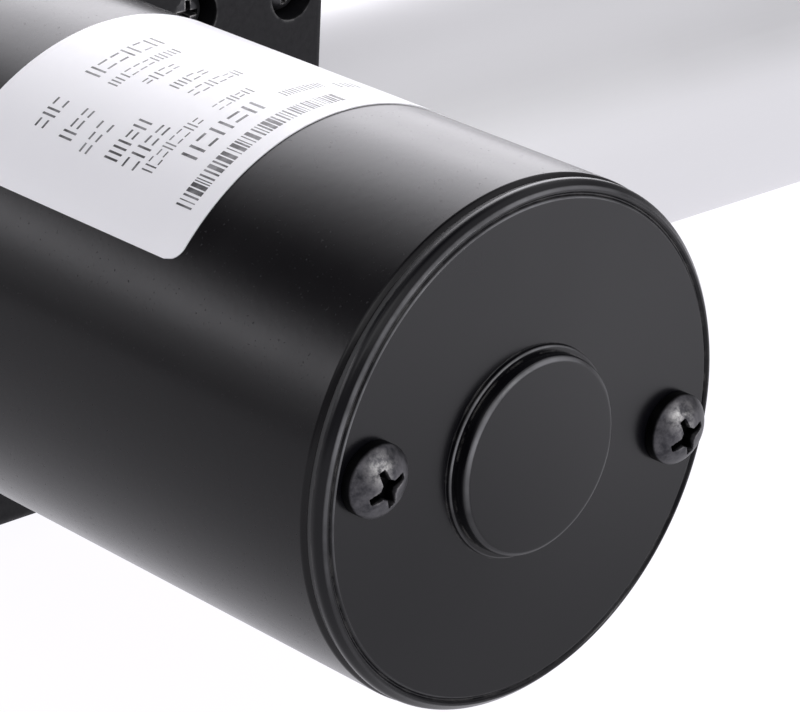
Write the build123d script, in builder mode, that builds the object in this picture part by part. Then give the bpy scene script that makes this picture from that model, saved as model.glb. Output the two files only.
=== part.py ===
"""Right-angle linear actuator: a worm-geared motor turns a lead screw, which pushes a rod out of a tube.

Millimetres. The origin is the centre of the rear fork's cross bore. +X runs along the lead screw towards the
rod's end, the motor points towards -Y, and +Z is up.
"""

import math
import os

from build123d import *

os.makedirs("parts", exist_ok=True)

# ---------------------------------------------------------------- driving dimensions
STROKE = 350.0
PIN_RADIUS = 5.1  # cross bores of both forks, for 10 mm pins
RUNNING = 0.05  # radial clearance of a running fit
FREE = 0.3  # clearance between faces that only pass each other

WORM_X = 56.0  # the motor and worm axis crosses over the screw here
CASE_X0, CASE_X1 = 22.0, 118.3
CASE_Z0, CASE_Z1 = -25.0, 56.0
CASE_HALF_DEPTH = 30.0
GASKET_HALF = 0.25

MODULE = 1.25
WHEEL_TEETH = 28
WORM_PITCH_RADIUS = 6.0
WORM_LEAD = math.pi * MODULE
WHEEL_PITCH_RADIUS = MODULE * WHEEL_TEETH / 2
MOTOR_Z = WHEEL_PITCH_RADIUS + WORM_PITCH_RADIUS  # centre distance of worm and wheel

MOTOR_RADIUS = 30.0
MOTOR_LENGTH = 99.0  # from the end cap's face to the gear case
FACE_Y = -CASE_HALF_DEPTH - MOTOR_LENGTH
CAN_START = 2.2  # the can begins this far behind the end cap's face
CAN_BORE = 27.5
BOLT_CIRCLE = 23.25
BOLT_TILT = 8.5  # the line through the two bolts is turned this many degrees
SHAFT_END = 3.0  # shaft radius in the bearings and in the worm
ARMATURE_RADIUS = 20.0
SLOTS = 12
MOTOR_BEARING_WIDTH, MOTOR_BEARING_RADIUS, MOTOR_BALL_RADIUS = 6.0, 9.5, 1.6
WORM_CHAMBER_START, WORM_CHAMBER_END = MOTOR_LENGTH + 16, MOTOR_LENGTH + 44
SHAFT_LENGTH = WORM_CHAMBER_END + MOTOR_BEARING_WIDTH

LEAD = 4.0
SCREW_RADIUS = 8.0
SCREW_ROOT = 5.75
THREAD_X0 = 80.0
THREAD_RUNS, TURNS_PER_RUN = 7, 15
THREAD_X1 = THREAD_X0 + THREAD_RUNS * TURNS_PER_RUN * LEAD
JOURNAL = 7.5  # radius of the plain shaft under the wheel and its two bearings
SCREW_BEARING_WIDTH, SCREW_BEARING_RADIUS, SCREW_BALL_RADIUS = 11.0, 17.5, 2.9
HUB_X0, HUB_X1 = WORM_X - 8, WORM_X + 8
LOCK_NUT_X1 = HUB_X0 - SCREW_BEARING_WIDTH
THRUST_COLLAR_X = HUB_X1 + SCREW_BEARING_WIDTH
SOCKET_X0, SOCKET_X1 = 98.0, 127.0  # the tube's socket, seated in the gear case
SOCKET_RADIUS, SOCKET_BORE = 21.0, 15.0
SOCKET_FLANGE = (100.0, 104.0, 23.0)  # start, end and radius of the flange that holds it

NUT_X0, NUT_COLLAR_X1, NUT_X1 = 130.0, 144.0, 154.0  # with the rod drawn in
GUIDE_X0 = NUT_X1 + STROKE + 2  # the rod's front guide, just past the nut's last place
GUIDE_X1 = GUIDE_X0 + 16
TUBE_RADIUS, TUBE_BORE = 25.5, 22.5
TUBE_X1 = GUIDE_X1 + 2
ROD_RADIUS, ROD_BORE = 14.0, 10.0
ROD_X1 = TUBE_X1 + 12
FRONT_EYE_X = ROD_X1 + 20

BOARD_Z0, BOARD_Z1 = -20.6, -19.0
BOARD_WIDTH = 16.0
BOARD_PLAY = 0.2
SWITCH_TOP = -15.3
NUT_FLAT_Z = -14.4
FORK_GAP, FORK_EAR = 13.0, 8.0

SCREW_LINE = Axis((0, 0, 0), (1, 0, 0))
MOTOR_LINE = Axis((WORM_X, FACE_Y, MOTOR_Z), (0, 1, 0))
# half-planes through the two lines: the sketch's x runs along the line, and its y is the radius
SCREW_PROFILE = Plane(origin=(0, 0, 0), x_dir=(1, 0, 0), z_dir=(0, -1, 0))
MOTOR_PROFILE = Plane(origin=(WORM_X, FACE_Y, MOTOR_Z), x_dir=(0, 1, 0), z_dir=(1, 0, 0))
LOW = (Align.CENTER, Align.CENTER, Align.MIN)
HIGH = (Align.CENTER, Align.CENTER, Align.MAX)


# ---------------------------------------------------------------- helpers
def save(part, name):
    """Label a finished piece and write it as its own STEP"""
    part.label = name
    export_step(part, f"parts/{name}.step")


def facing_back(depth, turn=0.0):
    """Plane across the motor, depth behind the end cap's face, looking out of that face, with its x axis
    turned by so many degrees from +X towards +Z"""
    angle = math.radians(turn)
    x_dir = (math.cos(angle), 0, math.sin(angle))
    return Plane(origin=(WORM_X, FACE_Y + depth, MOTOR_Z), x_dir=x_dir, z_dir=(0, -1, 0))


def across(x):
    """Plane across the screw at x, with its normal along +X"""
    return Plane(origin=(x, 0, 0), x_dir=(0, 1, 0), z_dir=(1, 0, 0))


def turned(profile, line, steps):
    """A piece turned about a line, from steps of (start, end, inner radius, outer radius)"""
    with BuildPart() as piece:
        with BuildSketch(profile):
            for start, end, inner, outer in steps:
                with Locations(((start + end) / 2, (inner + outer) / 2)):
                    Rectangle(end - start, outer - inner)
        revolve(axis=line)
    return piece.part


def on_screw(*steps):
    return turned(SCREW_PROFILE, SCREW_LINE, steps)


def on_motor(*steps):
    return turned(MOTOR_PROFILE, MOTOR_LINE, steps)


def round_edges(piece, radius):
    """The piece's round edges of this radius"""
    return piece.edges().filter_by(GeomType.CIRCLE).filter_by(lambda edge: abs(edge.radius - radius) < 0.01)


def thread_run(plane, root, crest, crest_share, flank_share, pitch, turns):
    """Right-hand single-start thread with its core, from a section that is turned as it is extruded.
    crest_share and flank_share are parts of one pitch; the crest starts on the plane's x axis."""
    half_crest = 180 * crest_share
    foot = half_crest + 360 * flank_share
    points = 9

    def flank(side):
        for i in range(points + 1):
            share = i / points
            angle = math.radians(half_crest + (foot - half_crest) * share)
            radius = crest + (root - crest) * share
            yield radius * math.cos(angle), side * radius * math.sin(angle)

    with BuildSketch(plane) as section:
        with BuildLine():
            CenterArc((0, 0), crest, -half_crest, 2 * half_crest)
            Spline(*flank(1))
            CenterArc((0, 0), root, foot, 360 - 2 * foot)
            Spline(*flank(-1))
        make_face()
    length = plane.z_dir * pitch * turns
    return Solid.extrude_linear_with_rotation(section.sketch.faces()[0], plane.origin, length, 360 * turns)


def pan_head_screw(head_radius, head_height, shank_radius, shank_length):
    """A cross-recessed pan-head screw seated on the XY plane, head up"""
    with BuildPart() as screw:
        Cylinder(head_radius, head_height, align=LOW)
        fillet(screw.edges().group_by(Axis.Z)[-1], 0.78 * head_height)
        Cylinder(shank_radius, shank_length, align=HIGH)
        with BuildSketch(Plane.XY.offset(head_height)):
            Rectangle(1.15 * head_radius, 0.26 * head_radius)
            Rectangle(0.26 * head_radius, 1.15 * head_radius)
        extrude(amount=-0.62 * head_height, taper=8, mode=Mode.SUBTRACT)
    return screw.part


def socket_screw(head_radius, head_height, shank_radius, shank_length):
    """A hexagon-socket cap screw seated on the XY plane, head up"""
    with BuildPart() as screw:
        Cylinder(head_radius, head_height, align=LOW)
        chamfer(screw.edges().group_by(Axis.Z)[-1], 0.08 * head_radius)
        Cylinder(shank_radius, shank_length, align=HIGH)
        with BuildSketch(Plane.XY.offset(head_height)):
            RegularPolygon(0.55 * head_radius, 6)
        extrude(amount=-0.55 * head_height, mode=Mode.SUBTRACT)
    return screw.part


def copies(piece, seats):
    """Several copies of one piece, each standing on its own plane"""
    with BuildPart() as group:
        for seat in seats:
            with Locations(seat):
                add(piece)
    return group.part


def bearings(profile, line, starts, width, bore, outside, ball_radius):
    """Deep-groove bearings on one line: their inner rings, outer rings and balls"""
    pitch = (bore + outside) / 2
    ring = 0.27 * (outside - bore)
    with BuildPart() as inner:
        for start in starts:
            with BuildSketch(profile):
                with Locations((start + width / 2, bore + ring / 2)):
                    Rectangle(width, ring)
                with Locations((start + width / 2, pitch)):
                    Circle(ball_radius + 0.2, mode=Mode.SUBTRACT)
            revolve(axis=line)
    with BuildPart() as outer:
        for start in starts:
            with BuildSketch(profile):
                with Locations((start + width / 2, outside - ring / 2)):
                    Rectangle(width, ring)
                with Locations((start + width / 2, pitch)):
                    Circle(ball_radius + FREE, mode=Mode.SUBTRACT)
            revolve(axis=line)
    count = 8
    across_line = Plane(origin=line.position, z_dir=line.direction)
    with BuildPart() as balls:
        for start in starts:
            with Locations(across_line.offset(start + width / 2)):
                with PolarLocations(pitch, count):
                    Sphere(ball_radius)
    return inner.part, outer.part, balls.part


def fork(eye_x, foot_x, base_radius, base_thickness):
    """A fork with a cross bore at eye_x, standing on a round base whose outer face is at foot_x"""
    toward = 1 if eye_x > foot_x else -1
    width = FORK_GAP + 2 * FORK_EAR
    base_inner = foot_x + toward * base_thickness
    with BuildPart() as piece:
        with BuildSketch(Plane.XZ.offset(-width / 2)):
            with Locations((eye_x, 0)):
                Circle(11)
            with Locations(((eye_x + foot_x) / 2, 0)):
                Rectangle(abs(eye_x - foot_x), 22)
        extrude(amount=width)
        with BuildSketch(across(min(foot_x, base_inner))):
            Circle(base_radius)
        extrude(amount=base_thickness)
        with BuildSketch(Plane.XZ.offset(-FORK_GAP / 2)):
            with Locations((base_inner + toward * 40, 0)):
                Rectangle(80, 60)
        extrude(amount=FORK_GAP, mode=Mode.SUBTRACT)
        with BuildSketch(Plane.XZ.offset(-width)):
            with Locations((eye_x, 0)):
                Circle(PIN_RADIUS)
        extrude(amount=2 * width, mode=Mode.SUBTRACT)
    return piece.part


# ---------------------------------------------------------------- gear case
CASE_SCREW_SEATS = [(WORM_X + 56.2, 38.2), (WORM_X + 39.5, 38.2), (28.5, 51.0), (28.5, -19.8), (86.5, -19.8)]
CASE_SCREW_RADIUS, CASE_SCREW_HEAD = 1.5, 3.1
COUNTERBORE_RADIUS, COUNTERBORE_DEPTH = 3.6, 4.0
CLEVIS_SCREWS = [(y, z) for y in (-16.5, 16.5) for z in (-15.0, 15.0)]
CHAMBER_X, CHAMBER_FLOOR, CHAMBER_HEIGHT = 62.0, 38.5, 12.0  # wiring chamber
GLAND_Z = 42.0
GLAND_THREAD = 6.0
MOTOR_BOLT_POINTS = [
    (BOLT_CIRCLE * math.cos(math.radians(a)), BOLT_CIRCLE * math.sin(math.radians(a)))
    for a in (180 - BOLT_TILT, -BOLT_TILT)
]
MOTOR_BOLT_DEPTH = 12.0


def case_slice(y0, y1, rounded=None):
    """The gear case between y0 and y1, with its cavities; rounded says which outer face has soft edges"""
    with BuildPart() as piece:
        with BuildSketch(Plane.XZ.offset(-y1)):
            with Locations(((CASE_X0 + CASE_X1) / 2, (CASE_Z0 + CASE_Z1) / 2)):
                RectangleRounded(CASE_X1 - CASE_X0, CASE_Z1 - CASE_Z0, 3)
        extrude(amount=y1 - y0)
        if rounded is not None:
            fillet(piece.faces().sort_by(Axis.Y)[rounded].edges(), 1.4)
        # bearing seats, wheel chamber, screw passage and the tube socket's seat
        with BuildSketch(SCREW_PROFILE):
            for start, end, radius in (
                (LOCK_NUT_X1 - 9, LOCK_NUT_X1, 13),
                (LOCK_NUT_X1, HUB_X0, SCREW_BEARING_RADIUS),
                (HUB_X0, HUB_X1, 20),
                (HUB_X1, THRUST_COLLAR_X, SCREW_BEARING_RADIUS),
                (THRUST_COLLAR_X, SOCKET_X0, 11),
                (SOCKET_X0, CASE_X1, SOCKET_RADIUS),
                SOCKET_FLANGE,
            ):
                with Locations(((start + end) / 2, radius / 2)):
                    Rectangle(end - start, radius)
        revolve(axis=SCREW_LINE, mode=Mode.SUBTRACT)
        # shaft hole, worm chamber and the worm's end bearing seat
        with BuildSketch(MOTOR_PROFILE):
            for start, end, radius in (
                (MOTOR_LENGTH, WORM_CHAMBER_START, 5),
                (WORM_CHAMBER_START, WORM_CHAMBER_END, 8.6),
                (WORM_CHAMBER_END, SHAFT_LENGTH, MOTOR_BEARING_RADIUS),
                (SHAFT_LENGTH, SHAFT_LENGTH + 2, 4.5),
            ):
                with Locations(((start + end) / 2, radius / 2)):
                    Rectangle(end - start, radius)
        revolve(axis=MOTOR_LINE, mode=Mode.SUBTRACT)
        # wiring chamber above the worm
        with BuildSketch(Plane.XZ.offset(-20)):
            with Locations((CHAMBER_X, CHAMBER_FLOOR + CHAMBER_HEIGHT / 2)):
                RectangleRounded(52, CHAMBER_HEIGHT, 2)
        extrude(amount=40, mode=Mode.SUBTRACT)
        # cable entry and rear fork screws, along X
        with BuildSketch(across(CASE_X0)):
            with Locations((0, GLAND_Z)):
                Circle(GLAND_THREAD)
        extrude(amount=15, mode=Mode.SUBTRACT)
        with BuildSketch(across(CASE_X0)):
            with Locations(*CLEVIS_SCREWS):
                Circle(2.5)
        extrude(amount=14, mode=Mode.SUBTRACT)
        # case screws, along Y
        with BuildSketch(Plane.XZ.offset(CASE_HALF_DEPTH)):
            with Locations(*CASE_SCREW_SEATS):
                Circle(CASE_SCREW_RADIUS)
        extrude(amount=-50, mode=Mode.SUBTRACT)
        with BuildSketch(Plane.XZ.offset(CASE_HALF_DEPTH)):
            with Locations(*CASE_SCREW_SEATS):
                Circle(COUNTERBORE_RADIUS)
        extrude(amount=-COUNTERBORE_DEPTH, mode=Mode.SUBTRACT)
        # motor bolts
        with BuildSketch(facing_back(MOTOR_LENGTH)):
            with Locations(*MOTOR_BOLT_POINTS):
                Circle(2.5)
        extrude(amount=-MOTOR_BOLT_DEPTH, mode=Mode.SUBTRACT)
    return piece.part


save(case_slice(-CASE_HALF_DEPTH, -GASKET_HALF, rounded=0), "gear_case_front")
save(case_slice(-GASKET_HALF, GASKET_HALF), "case_gasket")
save(case_slice(GASKET_HALF, CASE_HALF_DEPTH, rounded=-1), "gear_case_rear")

case_screw = pan_head_screw(CASE_SCREW_HEAD, 2.4, CASE_SCREW_RADIUS, 44.0)
counterbore_floor = -CASE_HALF_DEPTH + COUNTERBORE_DEPTH
case_seats = [Plane(origin=(x, counterbore_floor, z), z_dir=(0, -1, 0)) for x, z in CASE_SCREW_SEATS]
save(copies(case_screw, case_seats), "case_screws")

# ---------------------------------------------------------------- rear fork
REAR_BASE = 8.0
with BuildPart() as rear_clevis:
    add(fork(0, CASE_X0, 12, REAR_BASE))
    with BuildSketch(across(CASE_X0 - REAR_BASE)):
        RectangleRounded(43, 44, 4)
    extrude(amount=REAR_BASE)
    with BuildSketch(across(CASE_X0 - REAR_BASE)):
        with Locations(*CLEVIS_SCREWS):
            Circle(2.7)
    extrude(amount=REAR_BASE, mode=Mode.SUBTRACT)
save(rear_clevis.part, "rear_clevis")

clevis_screw = socket_screw(4.1, 4.5, 2.5, 20.0)
clevis_seats = [Plane(origin=(CASE_X0 - REAR_BASE, y, z), z_dir=(-1, 0, 0)) for y, z in CLEVIS_SCREWS]
save(copies(clevis_screw, clevis_seats), "rear_clevis_screws")

# ---------------------------------------------------------------- tube and its socket
TUBE_SCREW_X = 122.0
TUBE_SCREW_ANGLES = (90, 210, 330)


def radial_seats(x, radius, angles):
    """Planes that face outward round the tube at x"""
    for angle in angles:
        out = (0, math.cos(math.radians(angle)), math.sin(math.radians(angle)))
        yield Plane(origin=(x, radius * out[1], radius * out[2]), x_dir=(1, 0, 0), z_dir=out)


def radial_holes(seats, radius, length):
    """Cut round holes outward from planes round the tube"""
    for seat in seats:
        with BuildSketch(seat) as hole:
            Circle(radius)
        extrude(hole.sketch, amount=length, mode=Mode.SUBTRACT)


def board_slot(x0, length):
    """Cut the switch board's slot, from x0 on"""
    with BuildSketch(across(x0)) as slot:
        with Locations((0, (BOARD_Z0 + BOARD_Z1) / 2)):
            Rectangle(BOARD_WIDTH + 2 * BOARD_PLAY, BOARD_Z1 - BOARD_Z0 + 2 * BOARD_PLAY)
    extrude(slot.sketch, amount=length, mode=Mode.SUBTRACT)


TUBE_SCREW_SHANK = 2.0
with BuildPart() as tube_socket:
    flange_start, flange_end, flange_radius = SOCKET_FLANGE
    add(on_screw((SOCKET_X0, CASE_X1, SOCKET_BORE, SOCKET_RADIUS),
                 (flange_start, flange_end, SOCKET_BORE, flange_radius),
                 (CASE_X1, SOCKET_X1, SOCKET_BORE, TUBE_BORE)))
    board_slot(SOCKET_X1 - 4, 8)
    radial_holes(radial_seats(TUBE_SCREW_X, 16, TUBE_SCREW_ANGLES), TUBE_SCREW_SHANK, 10)
save(tube_socket.part, "tube_socket")

CAP_X0, CAP_X1, CAP_RADIUS = TUBE_X1 - 16, TUBE_X1 + 8, 28.5
CAP_SCREW_X = CAP_X0 + 8
CAP_SCREW_ANGLES = (90, 210, 330)
with BuildPart() as outer_tube:
    add(on_screw((CASE_X1, TUBE_X1, TUBE_BORE, TUBE_RADIUS)))
    radial_holes(radial_seats(TUBE_SCREW_X, 20, TUBE_SCREW_ANGLES), TUBE_SCREW_SHANK, 10)
    radial_holes(radial_seats(CAP_SCREW_X, 20, CAP_SCREW_ANGLES), TUBE_SCREW_SHANK, 10)
save(outer_tube.part, "outer_tube")
tube_screw = pan_head_screw(3.5, 2.2, TUBE_SCREW_SHANK, 6.5)
save(copies(tube_screw, radial_seats(TUBE_SCREW_X, TUBE_RADIUS, TUBE_SCREW_ANGLES)), "tube_screws")

# ---------------------------------------------------------------- front guide, cap and wiper
with BuildPart() as front_guide:
    add(on_screw((GUIDE_X0, GUIDE_X1, ROD_RADIUS + RUNNING, TUBE_BORE)))
    board_slot(GUIDE_X0 - 1, 5)
    radial_holes(radial_seats(CAP_SCREW_X, 17.5, CAP_SCREW_ANGLES), TUBE_SCREW_SHANK, 10)
save(front_guide.part, "front_guide")

WIPER_RADIUS = 18.0
CAP_LIP = 2.0
CAP_SCREW_SEAT = CAP_RADIUS - 1.2
with BuildPart() as front_cap:
    add(on_screw((CAP_X0, TUBE_X1, TUBE_RADIUS, CAP_RADIUS), (TUBE_X1, CAP_X1, WIPER_RADIUS, CAP_RADIUS),
                 (CAP_X1 - CAP_LIP, CAP_X1, ROD_RADIUS + 1, CAP_RADIUS)))
    cap_rounds = round_edges(front_cap, CAP_RADIUS)
    fillet(cap_rounds.sort_by(Axis.X)[-1], 2.5)
    radial_holes(radial_seats(CAP_SCREW_X, 20, CAP_SCREW_ANGLES), TUBE_SCREW_SHANK, 12)
    radial_holes(radial_seats(CAP_SCREW_X, CAP_SCREW_SEAT, CAP_SCREW_ANGLES), 3.8, 5)
save(front_cap.part, "front_cap")
cap_screw = pan_head_screw(3.4, 1.8, TUBE_SCREW_SHANK, 8.0)
save(copies(cap_screw, radial_seats(CAP_SCREW_X, CAP_SCREW_SEAT, CAP_SCREW_ANGLES)), "front_cap_screws")
save(on_screw((TUBE_X1, CAP_X1 - CAP_LIP, ROD_RADIUS + RUNNING, WIPER_RADIUS)), "wiper_seal")

# ---------------------------------------------------------------- lead screw group
LOCK_NUT_X0 = LOCK_NUT_X1 - 7
LOCK_NUT_BORE, LOCK_NUT_RADIUS = 6.0, 11.5
COLLAR_WIDTH, COLLAR_RADIUS = 4.0, 9.0
TIP_RADIUS = 5.0  # the screw's plain tip, inside the rod
KEY_LENGTH, KEY_WIDTH, KEY_FOOT = 12.0, 5.0, JOURNAL - 1
collar_end = THRUST_COLLAR_X + COLLAR_WIDTH
with BuildPart() as lead_screw:
    add(on_screw(
        (LOCK_NUT_X0 - 1, LOCK_NUT_X1, 0, LOCK_NUT_BORE),
        (LOCK_NUT_X1, THRUST_COLLAR_X, 0, JOURNAL),
        (THRUST_COLLAR_X, collar_end, 0, COLLAR_RADIUS),
        (collar_end, THREAD_X0, 0, SCREW_ROOT),
        (THREAD_X1, THREAD_X1 + 12, 0, TIP_RADIUS),
    ))
    for run in range(THREAD_RUNS):
        start = across(THREAD_X0 + run * TURNS_PER_RUN * LEAD)
        add(thread_run(start, SCREW_ROOT, SCREW_RADIUS, 0.366, 0.15, LEAD, TURNS_PER_RUN))
    with Locations((WORM_X, 0, KEY_FOOT)):
        Box(KEY_LENGTH, KEY_WIDTH, 2.2, align=LOW, mode=Mode.SUBTRACT)
save(lead_screw.part, "lead_screw")

with BuildPart() as lock_nut:
    add(on_screw((LOCK_NUT_X0, LOCK_NUT_X1, LOCK_NUT_BORE, LOCK_NUT_RADIUS)))
    with BuildSketch(across(LOCK_NUT_X0)):
        with PolarLocations(LOCK_NUT_RADIUS, 4):
            Rectangle(3, 4)
    extrude(amount=LOCK_NUT_X1 - LOCK_NUT_X0, mode=Mode.SUBTRACT)
save(lock_nut.part, "lock_nut")

with BuildPart() as wheel_key:
    with Locations((WORM_X, 0, KEY_FOOT)):
        Box(KEY_LENGTH, KEY_WIDTH, 3, align=LOW)
    fillet(wheel_key.edges().filter_by(Axis.Z), 2)
save(wheel_key.part, "wheel_key")

WHEEL_WIDTH = 12.0
HUB_OUTER, RECESS_OUTER, RECESS_DEPTH = 11.0, 14.5, 2.5
WHEEL_TIP, WHEEL_ROOT = WHEEL_PITCH_RADIUS + 1.1, WHEEL_PITCH_RADIUS - 1.5
TOOTH_THICKNESS = 1.4  # at the pitch line, on the wheel and on the worm
PRESSURE = math.tan(math.radians(20))
WHEEL_TWIST = math.degrees(WHEEL_WIDTH * WORM_LEAD / (2 * math.pi * WORM_PITCH_RADIUS) / WHEEL_PITCH_RADIUS)


def wheel_section(plane):
    """Toothed outline with a tooth gap centred a little off the plane's y axis, by half of the twist"""
    pitch_angle = 360 / WHEEL_TEETH
    corners = []
    for tooth in range(WHEEL_TEETH):
        middle = 90 - WHEEL_TWIST / 2 + (tooth + 0.5) * pitch_angle
        for radius, side in ((WHEEL_ROOT, -1), (WHEEL_TIP, -1), (WHEEL_TIP, 1), (WHEEL_ROOT, 1)):
            thickness = TOOTH_THICKNESS - 2 * (radius - WHEEL_PITCH_RADIUS) * PRESSURE
            angle = math.radians(middle) + side * thickness / 2 / radius
            corners.append((radius * math.cos(angle), radius * math.sin(angle)))
    with BuildSketch(plane) as section:
        with BuildLine():
            Polyline(*corners, close=True)
        make_face()
    return section.sketch.faces()[0]


with BuildPart() as worm_wheel:
    rim_start = across(WORM_X - WHEEL_WIDTH / 2)
    add(Solid.extrude_linear_with_rotation(wheel_section(rim_start), rim_start.origin,
                                           Vector(WHEEL_WIDTH, 0, 0), WHEEL_TWIST))
    add(on_screw((HUB_X0, HUB_X1, 0, HUB_OUTER)))
    add(on_screw((HUB_X0, HUB_X1, 0, JOURNAL)), mode=Mode.SUBTRACT)
    with Locations((WORM_X, 0, KEY_FOOT)):
        Box(HUB_X1 - HUB_X0, KEY_WIDTH, 3, align=LOW, mode=Mode.SUBTRACT)
    for side in (1, -1):
        with BuildSketch(across(WORM_X + side * WHEEL_WIDTH / 2)):
            Circle(RECESS_OUTER)
            Circle(HUB_OUTER, mode=Mode.SUBTRACT)
        extrude(amount=-side * RECESS_DEPTH, mode=Mode.SUBTRACT)
save(worm_wheel.part, "worm_wheel")

rings_in, rings_out, balls = bearings(
    SCREW_PROFILE,
    SCREW_LINE,
    (LOCK_NUT_X1, HUB_X1),
    SCREW_BEARING_WIDTH,
    JOURNAL,
    SCREW_BEARING_RADIUS,
    SCREW_BALL_RADIUS,
)
save(rings_in, "screw_bearing_inner_rings")
save(rings_out, "screw_bearing_outer_rings")
save(balls, "screw_bearing_balls")

save(on_screw((THREAD_X1 + 5, THREAD_X1 + 11, TIP_RADIUS, ROD_BORE - FREE)), "screw_end_guide")

# ---------------------------------------------------------------- drive nut, rod and front fork
NUT_PIN_X = NUT_COLLAR_X1 + 5
NUT_PIN_RADIUS, NUT_PIN_FOOT = 1.5, 8.7
CLEVIS_PIN_X, CLEVIS_PIN_RADIUS = ROD_X1 - 7, 2.5
PLUG_X0 = ROD_X1 - 22


def clevis_pin_hole():
    """Cut the roll pin's hole through the rod and the fork's plug"""
    with BuildSketch(Plane.XY.offset(-20)) as hole:
        with Locations((CLEVIS_PIN_X, 0)):
            Circle(CLEVIS_PIN_RADIUS)
    extrude(hole.sketch, amount=40, mode=Mode.SUBTRACT)


with BuildPart() as drive_nut:
    add(on_screw((NUT_X0, NUT_COLLAR_X1, 0, TUBE_BORE - FREE), (NUT_COLLAR_X1, NUT_X1, 0, ROD_BORE)))
    cutter_start = across(THREAD_X0 + 12 * LEAD)
    cutter = thread_run(cutter_start, SCREW_ROOT + FREE, SCREW_RADIUS + FREE, 0.54, 0.15, LEAD, 7)
    add(cutter, mode=Mode.SUBTRACT)
    with BuildSketch(across(NUT_X0)):
        with Locations((0, NUT_FLAT_Z - 10)):
            Rectangle(60, 20)
    extrude(amount=NUT_COLLAR_X1 - NUT_X0, mode=Mode.SUBTRACT)
    radial_holes(radial_seats(NUT_PIN_X, NUT_PIN_FOOT, (0, 180)), NUT_PIN_RADIUS, 4)
save(drive_nut.part, "drive_nut")

with BuildPart() as rod_tube:
    add(on_screw((NUT_COLLAR_X1, ROD_X1, ROD_BORE, ROD_RADIUS)))
    radial_holes(radial_seats(NUT_PIN_X, NUT_PIN_FOOT, (0, 180)), NUT_PIN_RADIUS, 8)
    clevis_pin_hole()
save(rod_tube.part, "rod_tube")

with BuildPart() as nut_pin:
    Cylinder(NUT_PIN_RADIUS, ROD_RADIUS - FREE - NUT_PIN_FOOT, align=LOW)
save(copies(nut_pin.part, radial_seats(NUT_PIN_X, NUT_PIN_FOOT, (0, 180))), "nut_pins")

with BuildPart() as front_clevis:
    add(fork(FRONT_EYE_X, ROD_X1, ROD_RADIUS, 7))
    add(on_screw((PLUG_X0, ROD_X1, 0, ROD_BORE)))
    clevis_pin_hole()
save(front_clevis.part, "front_clevis")

ROLL_PIN_LENGTH = 26.8
with BuildPart() as clevis_roll_pin:
    with BuildSketch(Plane.XY.offset(-ROLL_PIN_LENGTH / 2)):
        with Locations((CLEVIS_PIN_X, 0)):
            Circle(CLEVIS_PIN_RADIUS)
            Circle(CLEVIS_PIN_RADIUS - 0.9, mode=Mode.SUBTRACT)
            with Locations((CLEVIS_PIN_RADIUS - 0.5, 0)):
                Rectangle(2, 0.8, mode=Mode.SUBTRACT)
    extrude(amount=ROLL_PIN_LENGTH)
save(clevis_roll_pin.part, "clevis_roll_pin")

# ---------------------------------------------------------------- limit switches
RETRACT_SWITCH_X, EXTEND_SWITCH_X = NUT_X0 + 7, GUIDE_X0 - 14
SWITCH_LENGTH, SWITCH_WIDTH = 12.8, 5.8
PLUNGER_OFFSET = 2.5
PLUNGER_RADIUS, PLUNGER_TOP = 0.9, NUT_FLAT_Z - FREE
PLUNGER_WELL = 1.3

with BuildPart() as switch_board:
    with Locations(((SOCKET_X1 + GUIDE_X0) / 2, 0, BOARD_Z0)):
        Box(GUIDE_X0 - SOCKET_X1 + 6, BOARD_WIDTH, BOARD_Z1 - BOARD_Z0, align=LOW)
save(switch_board.part, "switch_board")

with BuildPart() as limit_switches:
    for x in (RETRACT_SWITCH_X, EXTEND_SWITCH_X):
        with Locations((x, 0, BOARD_Z1)):
            Box(SWITCH_LENGTH, SWITCH_WIDTH, SWITCH_TOP - BOARD_Z1, align=LOW)
        with Locations((x + PLUNGER_OFFSET, 0, SWITCH_TOP)):
            Cylinder(PLUNGER_RADIUS + RUNNING, PLUNGER_WELL + 1, align=HIGH, mode=Mode.SUBTRACT)
save(limit_switches.part, "limit_switches")

for x, name in ((RETRACT_SWITCH_X, "retract_plunger"), (EXTEND_SWITCH_X, "extend_plunger")):
    with BuildPart() as plunger:
        with Locations((x + PLUNGER_OFFSET, 0, PLUNGER_TOP)):
            Cylinder(PLUNGER_RADIUS, PLUNGER_TOP - SWITCH_TOP + PLUNGER_WELL, align=HIGH)
    save(plunger.part, name)

# ---------------------------------------------------------------- wiring chamber and cable entry
BLOCK_WAYS, BLOCK_PITCH = 4, 5.5
BLOCK_WIDTH, BLOCK_HEIGHT = 14.0, 7.0
with BuildPart() as terminal_block:
    with Locations((CHAMBER_X, 0, CHAMBER_FLOOR)):
        Box(BLOCK_WAYS * BLOCK_PITCH + 2, BLOCK_WIDTH, BLOCK_HEIGHT, align=LOW)
    fillet(terminal_block.edges().filter_by(Axis.Z), 0.8)
    with BuildSketch(Plane.XY.offset(CHAMBER_FLOOR + BLOCK_HEIGHT)):
        with Locations((CHAMBER_X, 0)):
            with GridLocations(BLOCK_PITCH, 0, BLOCK_WAYS, 1):
                Circle(1.8)
    extrude(amount=-BLOCK_HEIGHT / 2, mode=Mode.SUBTRACT)
    with BuildSketch(Plane.XY.offset(CHAMBER_FLOOR)):
        with Locations((CHAMBER_X, -BLOCK_WIDTH / 2), (CHAMBER_X, BLOCK_WIDTH / 2)):
            with GridLocations(BLOCK_PITCH, 0, BLOCK_WAYS, 1):
                Rectangle(3, 6)
    extrude(amount=2.5, mode=Mode.SUBTRACT)
save(terminal_block.part, "terminal_block")

CABLE_RADIUS = 3.25
GLAND_NECK = 6.4


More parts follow.
